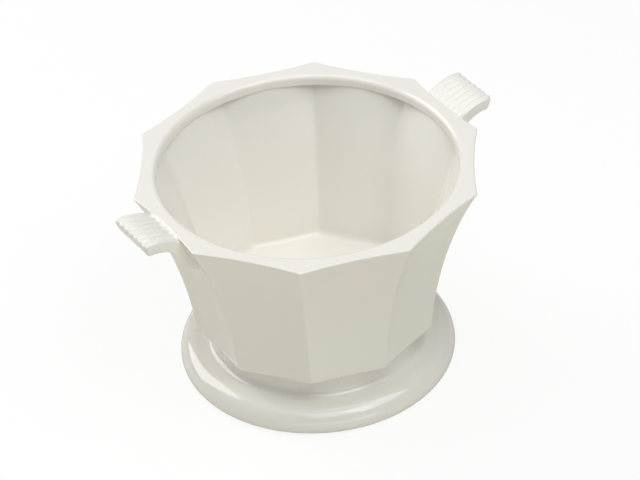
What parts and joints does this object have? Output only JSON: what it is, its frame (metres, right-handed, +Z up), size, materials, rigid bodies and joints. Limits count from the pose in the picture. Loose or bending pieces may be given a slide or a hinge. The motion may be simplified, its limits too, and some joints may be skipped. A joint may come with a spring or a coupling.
{
  "type": "cachepot",
  "caption": "Ten-sided glazed ceramic cachepot with a flat rim, hollowed flaring panels, a round rolled foot and two reeded lug handles.",
  "frame": {"origin": "on the table under the middle of the foot, the bottom centre of the bounding box", "axes": "+Z up; +X out through one handle, the other handle on -X; a corner of the rim on +Y and on -Y"},
  "size_m": [0.3268, 0.28, 0.193],
  "materials": {
    "glaze": "gloss",
    "slip": "matte"
  },
  "bodies": {
    "root": {"bowl": "glaze", "foot": "glaze", "foot_slip": "slip", "handle_left": "glaze", "handle_right": "glaze", "handle_slip_left": "slip", "handle_slip_right": "slip"}
  },
  "joints": []
}
